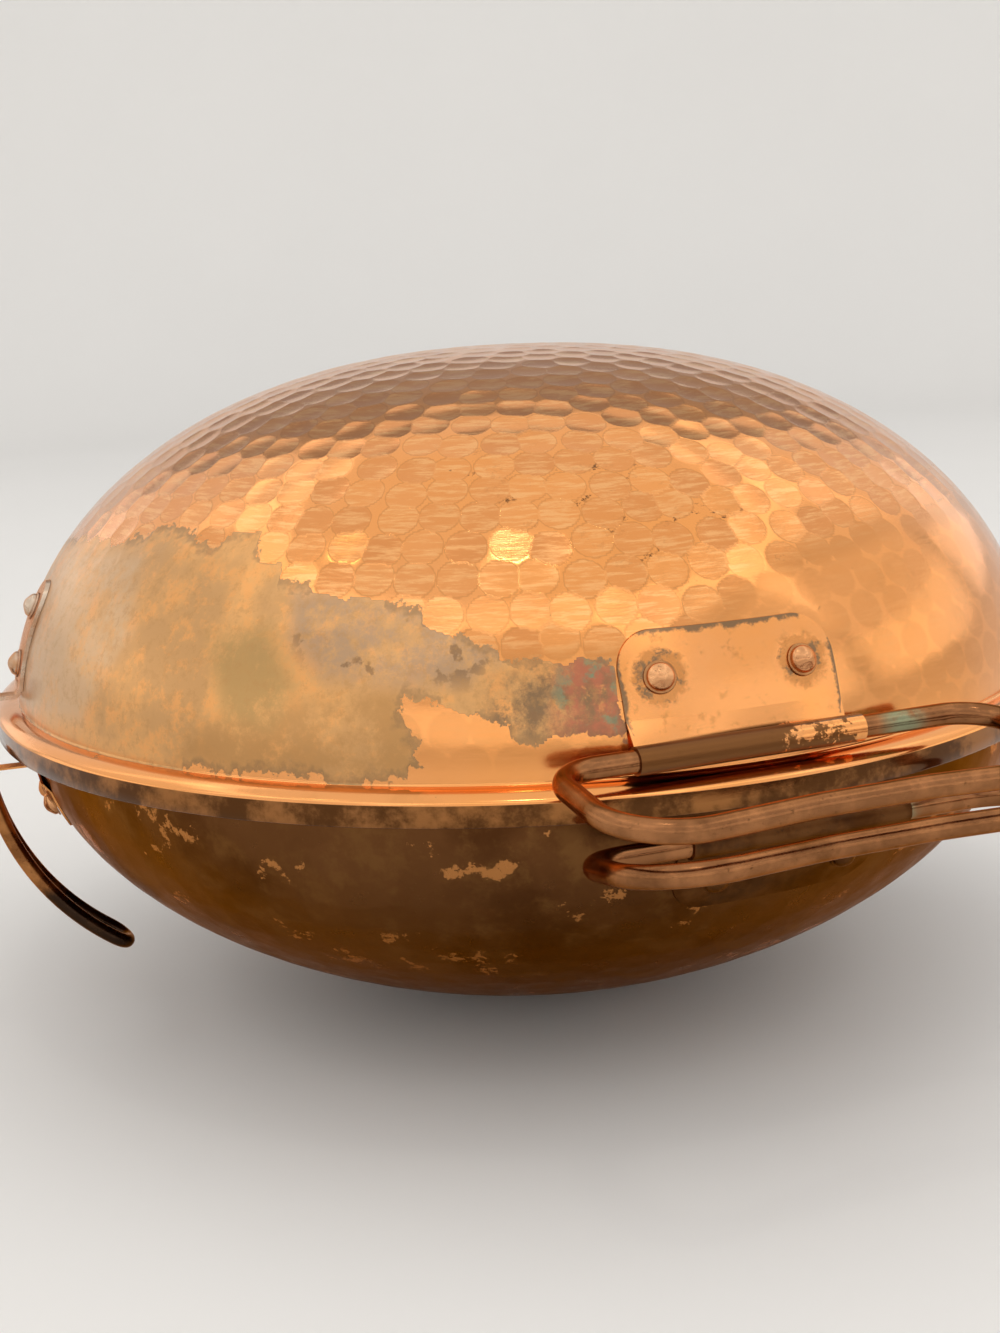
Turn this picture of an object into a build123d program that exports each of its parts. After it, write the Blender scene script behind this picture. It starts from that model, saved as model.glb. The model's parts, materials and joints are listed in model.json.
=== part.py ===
from build123d import *
from math import atan2, cos, radians, sin
import os

# A hinged copper vessel of two hammered domes. Millimetres, +Z up.
# The origin is the centre of the flat the bowl rests on; the front handles are
# at -Y, the hinge at +Y and a clamp near each of -X and +X.

# --- vessel -----------------------------------------------------------------
copper_sheet = 1.2          # wall of both halves
bowl_depth = 96.5           # resting flat to the skirt's lower edge
wall_radius = 162.6         # outside of the lid's wall at its widest
wall_step = 2.6             # how much smaller the bowl's wall is than the lid's
bead_width = 7.4            # lid's wall to the outside of its skirt
foot_radius = 24.0          # flat that the bowl rests on
bowl_side_power = 1.75      # outline exponents: how full the wall and the bottom are
bowl_crown_power = 1.93
lid_rise = 103.0            # rim corner to the lid's crown
lid_side_power = 2.28
lid_crown_power = 1.93
skirt_height = 6.0
bead_rise = 2.6             # height of the rolled bead above the rim corner
skirt_play = 0.5            # bowl's flange to the inside of the skirt

# --- bracket plates and their rivets ----------------------------------------
plate_sheet = 0.6
seat_gap = 0.05             # plate to the wall it is riveted to
running_fit = 0.06          # radial play of a rod in its rolled barrel
lid_plate_width = 60.0
bowl_plate_width = 64.0
lid_plate_reach = 29.0      # barrel axis to the plate's far edge
bowl_plate_reach = 22.0
plate_corner = 10.5
plate_flatten = 8.0         # height over which a plate goes from curved to straight
barrel_length = 64.0
rivet_spacing = 40.0
lid_rivet_reach = 17.5      # barrel axis to the rivet line
bowl_rivet_reach = 13.0
rivet_radius = 1.6
rivet_head_radius = 3.6
rivet_head_height = 2.6
rivet_clench_height = 0.9
rivet_fit = 0.03            # radial play of a rivet in its holes
clench_gap = 0.12           # wall to the clenched end inside
washer_radius = 4.3
washer_sheet = 0.5
washer_gap = 0.02

# --- loop handles -----------------------------------------------------------
rod_radius = 3.0
loop_half_length = 64.0
lid_loop_depth = 50.0
lid_loop_waist = 45.5       # depth of the hollow in the middle of the grip
bowl_loop_depth = 48.0
bowl_loop_waist = 39.0
loop_back_bend = 13.0
loop_grip_bend = 19.0
loop_waist_half = 15.0
loop_waist_bend = 42.0
rod_end_gap = 0.6           # between the rod's two ends, inside the barrel
lid_barrel_height = 9.0     # above the rim corner
bowl_barrel_drop = 10.0     # below the skirt's lower edge
lid_bracket_shift = -7.0    # along X
bowl_bracket_shift = 8.5
lid_loop_slide = 7.0        # how far the rod has slid along its barrel
lid_loop_droop = 4.0        # degrees below level
bowl_loop_lift = 11.0       # degrees above level

# --- hinge ------------------------------------------------------------------
hinge_offset = 6.5          # axis outside the skirt
hinge_drop = 3.5            # axis below the skirt's lower edge
hinge_sheet = 0.9
hinge_pin_radius = 2.0
hinge_width = 42.0
hinge_knuckle_gap = 0.3
hinge_lid_knuckle = 16.0
hinge_plate_foot = 12.0     # dome's base to the near end of a leaf's curved part
hinge_plate_reach = 26.0    # dome's base to a leaf's far edge
hinge_plate_corner = 7.0
hinge_rivet_spacing = 26.0
hinge_rivet_margin = 8.0
hinge_bead_gap = 4.0        # bead's top to where the lid's leaf leaves the wall
hinge_step = 2.2            # drop before the lid's leaf turns out over the bead
hinge_rise = 5.0            # rise before the bowl's leaf turns out under the skirt
hinge_bend = 1.6
hinge_pin_head = 1.2

# --- side clamps ------------------------------------------------------------
clamp_turn = 94.0           # degrees round from the front handles
bail_rod_radius = 2.25
bail_spacing = 12.0         # between the centres of the two arms
clamp_offset = 5.0          # pivot outside the skirt
clamp_drop = 7.0            # pivot below the skirt's lower edge
bail_reach_in = 33.0        # pivot to tip, towards the vessel
bail_reach_down = 57.0
bail_bow = 7.0              # how far the arms bow out from the straight line
bail_corner = 3.0
bail_side_play = 0.3        # barrel's end to the bend of an arm
clamp_plate_width = 30.0
clamp_plate_reach = 28.0    # bowl's widest to the plate's far edge
clamp_flatten = 3.0         # height over which the plate goes straight
clamp_rise = 3.0            # rise before the tongue turns out
clamp_bend = 2.0
clamp_rivet_margin = 8.0
clamp_plate_corner = 6.0
clamp_rivet_spacing = 18.0
keeper_sheet = 1.2
keeper_width = 16.0
keeper_round = 7.84         # its top corners, just under half its width
keeper_top = 41.0           # above the rim corner
keeper_foot = 9.0           # lower end of the strap's wide part, above the rim corner
keeper_rivets = (33.0, 16.0)
keeper_tongue = 6.0
keeper_hook_out = 8.0
keeper_hook_up = 7.0
keeper_bend = 1.9
keeper_drop = 2.5           # foot of the wide part to the hook's underside

lid_radius = wall_radius
bowl_radius = wall_radius - wall_step
rim_radius = wall_radius + bead_width
skirt_z = bowl_depth
rim_z = bowl_depth + skirt_height
flange_top = rim_z - copper_sheet
STEPS = 9                   # points that each dome outline is drawn through
CROWN_TURN = 80             # degrees up the outline to its last point before the crown
FLAT_TURN = 62              # and before a flat, which it runs into level
FAR = 400.0                 # longer than anything that is cut


def rv(radius, z):
    """Point in the half plane that the domes are turned from."""
    return Vector(radius, 0, z)


class Dome:
    """One half's wall: rounder than an ellipse, turned about Z from a level circle."""

    def __init__(self, radius, rise, side_power, crown_power, base_z, way, flat=0.0):
        self.radius = radius
        self.rise = rise
        self.side_power = side_power
        self.crown_power = crown_power
        self.base_z = base_z
        self.way = way
        self.flat = flat

    def point(self, turn, offset=0.0):
        radius = (self.radius + offset) * cos(turn) ** (2 / self.side_power)
        height = (self.rise + offset) * sin(turn) ** (2 / self.crown_power)
        return rv(radius, self.base_z + self.way * height)

    def outline(self, offset=0.0):
        """Edge from the base circle to the crown, with its flat if it has one."""
        crown = rv(self.flat, self.base_z + self.way * (self.rise + offset))
        last = FLAT_TURN if self.flat else CROWN_TURN
        turns = [radians(last * step / STEPS) for step in range(STEPS + 1)]
        points = [self.point(turn, offset) for turn in turns] + [crown]
        return Spline(*points, tangents=[(0, 0, self.way), (-1, 0, 0)])

    def radius_at(self, z, offset=0.0):
        height = abs(z - self.base_z) / (self.rise + offset)
        share = (1 - height ** self.crown_power) ** (1 / self.side_power)
        return (self.radius + offset) * share

    def normal_at(self, z):
        """Outward direction at the front of the wall, as (out, up)."""
        step = 0.5
        slope = (self.radius_at(z + step) - self.radius_at(z - step)) / (2 * step)
        length = (1 + slope * slope) ** 0.5
        return 1 / length, -slope / length


lid = Dome(lid_radius, lid_rise, lid_side_power, lid_crown_power, rim_z, 1)
bowl = Dome(bowl_radius, bowl_depth, bowl_side_power, bowl_crown_power, skirt_z, -1,
            foot_radius)


def turned(edges):
    """Solid of revolution from the closed outline that the edges make."""
    return revolve(make_face(Wire(edges)), Axis.Z)


def lines(*points):
    """Straight edges through the points."""
    return [Edge.make_line(a, b) for a, b in zip(points, points[1:])]


def layer(dome, inner, outer):
    """Skin that follows a dome, between two distances from its outside."""
    low = dome.outline(inner)
    high = dome.outline(outer)
    axis_low = rv(0, (low @ 1).Z)
    axis_high = rv(0, (high @ 1).Z)
    ends = [low @ 1, axis_low, axis_high, high @ 1]
    ends = [p for i, p in enumerate(ends) if i == 0 or (p - ends[i - 1]).length > 1e-6]
    return turned([low.edge(), high.edge()] + lines(*ends) + lines(high @ 0, low @ 0))


def clear_of_wall(plate, dome):
    """The plate, with whatever would press into the dome's wall taken off."""
    low = dome.outline(seat_gap)
    centre_top = rv(0, (low @ 1).Z)
    centre_base = rv(0, dome.base_z)
    ends = [low @ 1, centre_top] if dome.flat else [centre_top]
    return plate - turned([low.edge()] + lines(*ends, centre_base, low @ 0))


# --- rivets -----------------------------------------------------------------
def seat_plane(dome, z, shift, height):
    """Plane square to the wall, `height` out from it, at the front of the vessel."""
    out, up = dome.normal_at(z)
    side = atan2(shift, dome.radius_at(z))
    foot = Vector(dome.radius_at(z) * sin(side), -dome.radius_at(z) * cos(side), z)
    normal = Vector(out * sin(side), -out * cos(side), up)
    return Plane(origin=foot + normal * height, x_dir=(cos(side), sin(side), 0), z_dir=normal)


def rivet(dome, z, shift, stack):
    """Domed head over a washer and plates `stack` thick, clenched inside the wall."""
    top = stack + washer_sheet + 2 * washer_gap
    bottom = copper_sheet + clench_gap
    shank = seat_plane(dome, z, shift, -bottom) * extrude(Circle(rivet_radius), top + bottom)
    outline = [
        Edge.make_line((0, 0, 0), (rivet_head_radius, 0, 0)),
        Edge.make_line((rivet_head_radius, 0, 0), (rivet_head_radius, 0, 0.4)),
        Edge.make_spline([(rivet_head_radius, 0, 0.4), (rivet_head_radius * 0.72, 0, 1.6),
                          (0, 0, rivet_head_height)], tangents=[(-0.2, 0, 1), (-1, 0, -0.25)]),
        Edge.make_line((0, 0, rivet_head_height), (0, 0, 0)),
    ]
    head = seat_plane(dome, z, shift, top) * turned(outline)
    clench = extrude(Circle(rivet_head_radius * 0.8), rivet_clench_height)
    clench = chamfer(clench.edges().group_by(Axis.Z)[0], rivet_clench_height * 0.4)
    clench = seat_plane(dome, z, shift, -bottom - rivet_clench_height) * clench
    return shank + head + clench


def washer(dome, z, shift, stack):
    """Flat ring between the rivet's head and the plate."""
    ring = Circle(washer_radius) - Circle(rivet_radius + rivet_fit)
    ring = extrude(ring, washer_sheet)
    ring = chamfer(ring.edges().group_by(Axis.Z)[-1].sort_by(Edge.length)[-1], 0.15)
    return seat_plane(dome, z, shift, stack + washer_gap) * ring


def rivet_hole(dome, z, shift):
    """Cutter for the hole that a rivet passes through."""
    hole = extrude(Circle(rivet_radius + rivet_fit), 12, both=True)
    return seat_plane(dome, z, shift, 0) * hole


# --- plates that follow a wall ----------------------------------------------
def outline_prism(low_z, high_z, width, corner, round_top, shift=0.0):
    """Block with the plate's outline, run through the front of the vessel."""
    centre = (low_z + high_z) / 2
    block = Pos(shift, 0, centre) * Box(width, FAR, high_z - low_z)
    block = Pos(0, -FAR / 2, 0) * block
    rounded = block.edges().filter_by(Axis.Y).group_by(Axis.Z)[-1 if round_top else 0]
    return fillet(rounded, corner)


def wall_plate(dome, near_z, far_z, width, corner, sheet, shift=0.0):
    """Sheet formed to the wall from near_z to far_z, with its far corners rounded."""
    skin = layer(dome, seat_gap, seat_gap + sheet)
    low, high = min(near_z, far_z), max(near_z, far_z)
    return skin & outline_prism(low, high, width, corner, far_z > near_z, shift)


def flattening(dome, wall_z, flat_z, flat_y, width, sheet, shift=0.0):
    """Sheet that goes from the wall's curve at wall_z to a straight edge at flat_z."""
    inner = dome.radius_at(wall_z, seat_gap)
    outer = dome.radius_at(wall_z, seat_gap + sheet)
    curve = (Circle(outer) - Circle(inner)) & (Pos(shift, -FAR / 2) * Rectangle(width, FAR))
    straight = Pos(shift, flat_y, flat_z) * Rectangle(width, sheet)
    return loft([(Pos(0, 0, wall_z) * curve).face(), straight.face()], ruled=True)


def barrel(y, z, length, bore, sheet, shift=0.0):
    """Rolled tube along X for a rod of the given bore radius."""
    tube = extrude(Circle(bore + sheet) - Circle(bore), length / 2, both=True)
    return Pos(shift, y, z) * Rot(0, 90, 0) * tube


def bent_strip(points, bend, sheet, width, shift=0.0):
    """Strip `width` wide along X whose middle follows (y, z) points."""
    middle = FilletPolyline(*[(0, y, z) for y, z in points], radius=bend)
    section = Plane(origin=middle @ 0, x_dir=(1, 0, 0), z_dir=middle % 0)
    return sweep(section * Pos(shift, 0) * Rectangle(width, sheet), path=middle)


def front_barrel_y(dome, z):
    """Barrel axis whose tangent plate just clears the wall."""
    bore = rod_radius + running_fit
    return -(dome.radius_at(z, seat_gap) + plate_sheet + bore)


def handle_bracket(dome, barrel_z, shift, width, reach, seats):
    """Plate riveted at its (x, z) seats, with a rolled barrel along its free edge."""
    way = dome.way
    bore = rod_radius + running_fit
    barrel_y = front_barrel_y(dome, barrel_z)
    flat_y = barrel_y + bore + plate_sheet / 2
    join_z = barrel_z + way * plate_flatten
    far_z = barrel_z + way * reach
    body = wall_plate(dome, join_z, far_z, width, plate_corner, plate_sheet, shift)
    body += flattening(dome, join_z, barrel_z, flat_y, width, plate_sheet, shift)
    body = clear_of_wall(body, dome)
    body -= Pos(shift, barrel_y, barrel_z) * Rot(0, 90, 0) * Cylinder(bore, FAR)
    body += barrel(barrel_y, barrel_z, barrel_length, bore, plate_sheet, shift)
    for x, z in seats:
        body -= rivet_hole(dome, z, x)
    return body


def handle_rivets(dome, barrel_z, shift, reach):
    """(x, z) of each rivet of a handle bracket."""
    z = barrel_z + dome.way * reach
    return [(shift + side * rivet_spacing / 2, z) for side in (-1, 1)]


def loop_handle(depth, waist, pivot_y, pivot_z, shift, tilt):
    """Bent rod: straight through the barrel, round both ends, waved along the grip."""
    half = loop_half_length
    start = rod_end_gap / 2
    corners = [(start, 0), (half - 2, 0), (half, -depth), (loop_waist_half, -waist),
               (-loop_waist_half, -waist), (-half, -depth), (2 - half, 0), (-start, 0)]
    bends = [loop_back_bend, loop_grip_bend, loop_waist_bend,
             loop_waist_bend, loop_grip_bend, loop_back_bend]
    path = FilletPolyline(*corners, radius=bends)
    section = Plane(origin=path @ 0, z_dir=path % 0)
    rod = sweep(section * Circle(rod_radius), path=path)
    return Pos(shift, pivot_y, pivot_z) * Rot(tilt, 0, 0) * rod


# --- hinge ------------------------------------------------------------------
hinge_y = -(rim_radius + hinge_offset)
hinge_z = skirt_z - hinge_drop
hinge_bore = hinge_pin_radius + running_fit
hinge_tangent = hinge_bore + hinge_sheet / 2


def hinge_rivets(dome):
    """(x, z) of each rivet of a hinge leaf."""
    z = dome.base_z + dome.way * (hinge_plate_reach - hinge_rivet_margin)
    return [(side * hinge_rivet_spacing / 2, z) for side in (-1, 1)]


def hinge_leaf(dome, points, knuckles):
    """Plate on the wall with a strip to each of its (centre, width) knuckles."""
    wall_z = dome.base_z + dome.way * hinge_plate_foot
    flat_y, flat_z = points[0]
    far_z = dome.base_z + dome.way * hinge_plate_reach
    body = wall_plate(dome, wall_z, far_z, hinge_width, hinge_plate_corner, hinge_sheet)
    body += flattening(dome, wall_z, flat_z, flat_y, hinge_width, hinge_sheet)
    for centre, width in knuckles:
        body += bent_strip(points, hinge_bend, hinge_sheet, width, centre)
    body = clear_of_wall(body, dome)
    body -= Pos(0, hinge_y, hinge_z) * Rot(0, 90, 0) * Cylinder(hinge_bore, FAR)
    for centre, width in knuckles:
        body += barrel(hinge_y, hinge_z, width, hinge_bore, hinge_sheet, centre)
    for x, z in hinge_rivets(dome):
        body -= rivet_hole(dome, z, x)
    return body


def hinge_lid_leaf():
    """Steps out over the bead and drops to the middle knuckle."""
    start_z = rim_z + bead_rise + hinge_bead_gap
    start_y = -(dome_clear(lid, start_z) + hinge_sheet / 2)
    points = [(start_y, start_z), (start_y, start_z - hinge_step),
              (hinge_y - hinge_tangent, rim_z), (hinge_y - hinge_tangent, hinge_z)]
    return hinge_leaf(lid, points, [(0, hinge_lid_knuckle)])


def hinge_bowl_leaf():
    """Runs out under the skirt to the two outer knuckles."""
    width = (hinge_width - hinge_lid_knuckle) / 2 - hinge_knuckle_gap
    centre = (hinge_width - width) / 2
    strip_z = hinge_z - hinge_tangent
    start_y = -(dome_clear(bowl, strip_z) + hinge_sheet / 2)
    points = [(start_y, strip_z - hinge_rise), (start_y, strip_z), (hinge_y, strip_z)]
    return hinge_leaf(bowl, points, [(-centre, width), (centre, width)])


def dome_clear(dome, z):
    """Radius just outside the wall's seat gap at z."""
    return dome.radius_at(z, seat_gap)


def hinge_pin():
    """Plain pin, headed at both ends."""
    pin = Cylinder(hinge_pin_radius, hinge_width + 2 * hinge_knuckle_gap)
    for side in (-1, 1):
        place = side * (hinge_width / 2 + hinge_knuckle_gap + hinge_pin_head / 2)
        head = Cylinder(hinge_pin_radius + 1, hinge_pin_head)
        pin += Pos(0, 0, place) * chamfer(head.edges().sort_by(Axis.Z)[0 if side < 0 else -1], 0.5)
    return Pos(0, hinge_y, hinge_z) * Rot(0, 90, 0) * pin


# --- side clamps ------------------------------------------------------------
clamp_y = -(rim_radius + clamp_offset)
clamp_z = skirt_z - clamp_drop
clamp_bore = bail_rod_radius + running_fit
clamp_barrel_length = bail_spacing - 2 * (bail_corner + bail_side_play)


def clamp_rivets():
    """(x, z) of each rivet of a clamp's bracket."""
    z = bowl.base_z - (clamp_plate_reach - clamp_rivet_margin)
    return [(side * clamp_rivet_spacing / 2, z) for side in (-1, 1)]


def clamp_bracket():
    """Plate on the bowl whose tongue runs out to the bail's barrel."""
    strip_z = clamp_z - clamp_bore - plate_sheet / 2
    start_y = -(dome_clear(bowl, strip_z) + plate_sheet / 2)
    flat_z = strip_z - clamp_rise
    wall_z = flat_z - clamp_flatten
    far_z = bowl.base_z - clamp_plate_reach
    body = wall_plate(bowl, wall_z, far_z, clamp_plate_width, clamp_plate_corner, plate_sheet)
    body += flattening(bowl, wall_z, flat_z, start_y, clamp_plate_width, plate_sheet)
    points = [(start_y, flat_z), (start_y, strip_z), (clamp_y, strip_z)]
    body += bent_strip(points, clamp_bend, plate_sheet, clamp_barrel_length)
    body = clear_of_wall(body, bowl)
    body -= Pos(0, clamp_y, clamp_z) * Rot(0, 90, 0) * Cylinder(clamp_bore, FAR)
    body += barrel(clamp_y, clamp_z, clamp_barrel_length, clamp_bore, plate_sheet)
    for x, z in clamp_rivets():
        body -= rivet_hole(bowl, z, x)
    return body


def clamp_bail():
    """Hairpin of rod: through the barrel, then two bowed arms to a round tip."""
    half = bail_spacing / 2
    chord = Vector(0, bail_reach_in, -bail_reach_down)
    outward = Vector(0, -bail_reach_down, -bail_reach_in).normalized()
    middle = chord * 0.5 + outward * bail_bow
    arm = Edge.make_three_point_arc((0, 0, 0), middle, chord)
    root_way = arm.tangent_at(0)
    tip_way = arm.tangent_at(1)
    across = Vector(1, 0, 0)
    edges = []
    for side in (1, -1):
        inner = across * (side * (half - bail_corner)) - root_way * bail_corner
        outer = across * (side * half)
        centre = across * (side * (half - bail_corner))
        knee = centre + (across * side - root_way) * (bail_corner * 0.5 ** 0.5)
        seam = across * (side * rod_end_gap / 2) - root_way * bail_corner
        edges.append(Edge.make_line(seam, inner))
        edges.append(Edge.make_three_point_arc(inner, knee, outer))
        edges.append(arm.moved(Location(outer)))
    tip = Edge.make_three_point_arc(chord + across * half, chord + tip_way * half,
                                    chord - across * half)
    path = Wire(edges + [tip])
    start = across * (rod_end_gap / 2) - root_way * bail_corner
    section = Plane(origin=start, z_dir=across)
    rod = sweep(section * Circle(bail_rod_radius), path=path)
    return Pos(0, clamp_y, clamp_z) * (Pos(*(root_way * bail_corner)) * rod)


def keeper():
    """Round-topped strap on the lid, whose tongue ends in an upturned hook."""
    foot_z = rim_z + keeper_foot
    top_z = rim_z + keeper_top
    body = wall_plate(lid, foot_z, top_z, keeper_width, keeper_round, keeper_sheet)
    start_y = -(dome_clear(lid, foot_z) + keeper_sheet / 2)
    low_z = foot_z - keeper_drop
    hook_y = start_y - keeper_hook_out
    points = [(start_y, foot_z + keeper_drop), (start_y, low_z), (hook_y, low_z),
              (hook_y, low_z + keeper_hook_up)]
    body += bent_strip(points, keeper_bend, keeper_sheet, keeper_tongue)
    body = clear_of_wall(body, lid)
    for height in keeper_rivets:
        body -= rivet_hole(lid, rim_z + height, 0)
    return body


# --- the two halves ---------------------------------------------------------
def around(shape, angle):
    return Rot(0, 0, angle) * shape


BACK = 180
CLAMP_SIDES = {"left": -clamp_turn, "right": clamp_turn}
lid_barrel_z = rim_z + lid_barrel_height
bowl_barrel_z = skirt_z - bowl_barrel_drop
lid_handle_seats = handle_rivets(lid, lid_barrel_z, lid_bracket_shift, lid_rivet_reach)
bowl_handle_seats = handle_rivets(bowl, bowl_barrel_z, bowl_bracket_shift, bowl_rivet_reach)
keeper_seats = [(0, rim_z + height) for height in keeper_rivets]


def lid_shell():
    """Dome with a rolled bead and a skirt round its rim."""
    inside = lid_radius - copper_sheet
    skirt_inside = rim_radius - copper_sheet
    outer = lid.outline()
    inner = lid.outline(-copper_sheet)
    crease = rv(lid_radius, rim_z + bead_rise)
    corner = rv(rim_radius, rim_z)
    crown = rv((rim_radius + lid_radius) / 2 + 0.9, rim_z + bead_rise * 0.72)
    dome = turned([outer.edge(), inner.edge()] + lines(outer @ 1, inner @ 1)
                  + lines(inner @ 0, outer @ 0))
    rim = turned([Edge.make_three_point_arc(crease, crown, corner)]
                 + lines(corner, rv(rim_radius, skirt_z), rv(skirt_inside, skirt_z),
                         rv(skirt_inside, flange_top), rv(inside, flange_top),
                         rv(inside, rim_z), rv(inside + copper_sheet / 2, rim_z),
                         rv(inside + copper_sheet / 2, rim_z + bead_rise), crease))
    body = dome + rim
    for x, z in lid_handle_seats:
        body -= rivet_hole(lid, z, x)
    for x, z in hinge_rivets(lid):
        body -= around(rivet_hole(lid, z, x), BACK)
    for angle in CLAMP_SIDES.values():
        for x, z in keeper_seats:
            body -= around(rivet_hole(lid, z, x), angle)
    return body


def bowl_shell():
    """Dish with a flat to rest on and a level flange round its rim."""
    inside = bowl_radius - copper_sheet
    flange = rim_radius - copper_sheet - skirt_play
    outer = bowl.outline()
    inner = bowl.outline(-copper_sheet)
    floor = [outer @ 1, rv(0, (outer @ 1).Z), rv(0, (inner @ 1).Z), inner @ 1]
    rim = [inner @ 0, rv(inside, flange_top), rv(flange, flange_top),
           rv(flange, flange_top - copper_sheet), rv(bowl_radius, flange_top - copper_sheet),
           outer @ 0]
    body = turned([outer.edge(), inner.edge()] + lines(*floor) + lines(*rim))
    for x, z in bowl_handle_seats:
        body -= rivet_hole(bowl, z, x)
    for x, z in hinge_rivets(bowl):
        body -= around(rivet_hole(bowl, z, x), BACK)
    for angle in CLAMP_SIDES.values():
        for x, z in clamp_rivets():
            body -= around(rivet_hole(bowl, z, x), angle)
    return body


def fasteners(dome, seats, stack, angle=0):
    """The rivets and the washers of one plate, each as a group of solids."""
    rivets = [around(rivet(dome, z, x, stack), angle) for x, z in seats]
    washers = [around(washer(dome, z, x, stack), angle) for x, z in seats]
    return Compound(children=rivets), Compound(children=washers)


def build():
    """Every node by its name."""
    nodes = {"lid_shell": lid_shell(), "bowl_shell": bowl_shell()}
    stack = seat_gap + plate_sheet
    nodes["lid_handle_bracket"] = handle_bracket(
        lid, lid_barrel_z, lid_bracket_shift, lid_plate_width, lid_plate_reach, lid_handle_seats)
    nodes["bowl_handle_bracket"] = handle_bracket(
        bowl, bowl_barrel_z, bowl_bracket_shift, bowl_plate_width, bowl_plate_reach,
        bowl_handle_seats)
    for name, dome, seats in (("lid", lid, lid_handle_seats), ("bowl", bowl, bowl_handle_seats)):
        rivets, washers = fasteners(dome, seats, stack)
        nodes[name + "_handle_rivets"] = rivets
        nodes[name + "_handle_washers"] = washers
    nodes["lid_handle"] = loop_handle(lid_loop_depth, lid_loop_waist,
                                      front_barrel_y(lid, lid_barrel_z), lid_barrel_z,
                                      lid_bracket_shift + lid_loop_slide, lid_loop_droop)
    nodes["bowl_handle"] = loop_handle(bowl_loop_depth, bowl_loop_waist,
                                       front_barrel_y(bowl, bowl_barrel_z), bowl_barrel_z,
                                       bowl_bracket_shift, -bowl_loop_lift)

    hinge_stack = seat_gap + hinge_sheet
    for name, dome, leaf in (("lid", lid, hinge_lid_leaf()), ("bowl", bowl, hinge_bowl_leaf())):
        nodes["hinge_" + name + "_leaf"] = around(leaf, BACK)
        rivets, washers = fasteners(dome, hinge_rivets(dome), hinge_stack, BACK)
        nodes["hinge_" + name + "_rivets"] = rivets
        nodes["hinge_" + name + "_washers"] = washers
    nodes["hinge_pin"] = around(hinge_pin(), BACK)

    for side, angle in CLAMP_SIDES.items():
        nodes[side + "_clamp_bracket"] = around(clamp_bracket(), angle)
        nodes[side + "_clamp_bail"] = around(clamp_bail(), angle)
        rivets, washers = fasteners(bowl, clamp_rivets(), stack, angle)
        nodes[side + "_clamp_rivets"] = rivets
        nodes[side + "_clamp_washers"] = washers
        nodes[side + "_keeper"] = around(keeper(), angle)
        rivets, washers = fasteners(lid, keeper_seats, seat_gap + keeper_sheet, angle)
        nodes[side + "_keeper_rivets"] = rivets
        nodes[side + "_keeper_washers"] = washers
    return nodes


os.makedirs("parts", exist_ok=True)
for node, shape in build().items():
    export_step(shape, "parts/" + node + ".step")
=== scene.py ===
import json
import math

import bpy
import numpy as np
from mathutils import Matrix, Vector


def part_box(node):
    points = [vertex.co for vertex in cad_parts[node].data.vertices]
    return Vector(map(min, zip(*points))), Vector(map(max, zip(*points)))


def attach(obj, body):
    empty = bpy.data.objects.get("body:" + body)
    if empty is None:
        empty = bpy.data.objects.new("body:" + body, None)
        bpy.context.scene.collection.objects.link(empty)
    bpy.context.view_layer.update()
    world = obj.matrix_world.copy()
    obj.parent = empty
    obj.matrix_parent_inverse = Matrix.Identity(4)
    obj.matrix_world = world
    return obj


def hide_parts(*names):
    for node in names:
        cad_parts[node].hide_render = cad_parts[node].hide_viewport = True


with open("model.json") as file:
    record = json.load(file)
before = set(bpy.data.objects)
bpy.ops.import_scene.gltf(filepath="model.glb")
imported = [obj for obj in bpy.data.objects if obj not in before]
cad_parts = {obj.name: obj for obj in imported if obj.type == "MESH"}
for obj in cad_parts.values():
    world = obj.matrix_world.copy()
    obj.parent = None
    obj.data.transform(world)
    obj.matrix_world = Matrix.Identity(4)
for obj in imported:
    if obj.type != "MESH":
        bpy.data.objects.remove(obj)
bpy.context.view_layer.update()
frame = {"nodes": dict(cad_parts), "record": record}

MM = 0.001
TAU = 2 * math.pi

# ---------------------------------------------------------------- the vessel's sizes
LID_LOW, LID_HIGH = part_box("lid_shell")
BOWL_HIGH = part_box("bowl_shell")[1]
SHEET = 1.2 * MM
SKIRT_Z = LID_LOW.z
RIM_Z = BOWL_HIGH.z + SHEET
RIM_RADIUS = 170.0 * MM
BEAD_RISE = 2.6 * MM
BEAD_CURL = 1.15 * MM
EDGE_ROUND = 0.25 * MM
CORNER = 0.2 * MM
LID_RADIUS = 162.6 * MM
LID_RISE = LID_HIGH.z - RIM_Z
BOWL_RADIUS = 160.0 * MM
SKIRT_PLAY = 0.5 * MM
# Both walls are superellipses, each with a power for its radius and a common one for its
# height. The bowl's ends at BOWL_BEND degrees and bends over into its flat foot.
LID_SIDE_POWER = 2.28
BOWL_SIDE_POWER = 1.75
CROWN_POWER = 1.93
BOWL_BEND = 62.0
FOOT_RADIUS = 24.0 * MM
POLE = 1e-5
# Rows of points: down the lid's skirt, round the bowl's flange and over each inside.
SKIRT_ROWS = 6
FLANGE_ROWS = 5
LID_INSIDE_ROWS = 70
BOWL_INSIDE_ROWS = 60

# ---------------------------------------------------------------- hammer marks
LID_SEED = 11
BOWL_SEED = 23
BLOW_SPACING = 10.9 * MM
RING_SPACING = 0.9 * BLOW_SPACING
BLOW_SCATTER = 0.07
BLOW_DEPTH = 0.23 * MM
BLOW_RADIUS = 5.75 * MM
LID_COLUMNS = 1500
LID_ROWS = 300
BOWL_COLUMNS = 1000
BOWL_ROWS = 190


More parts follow.
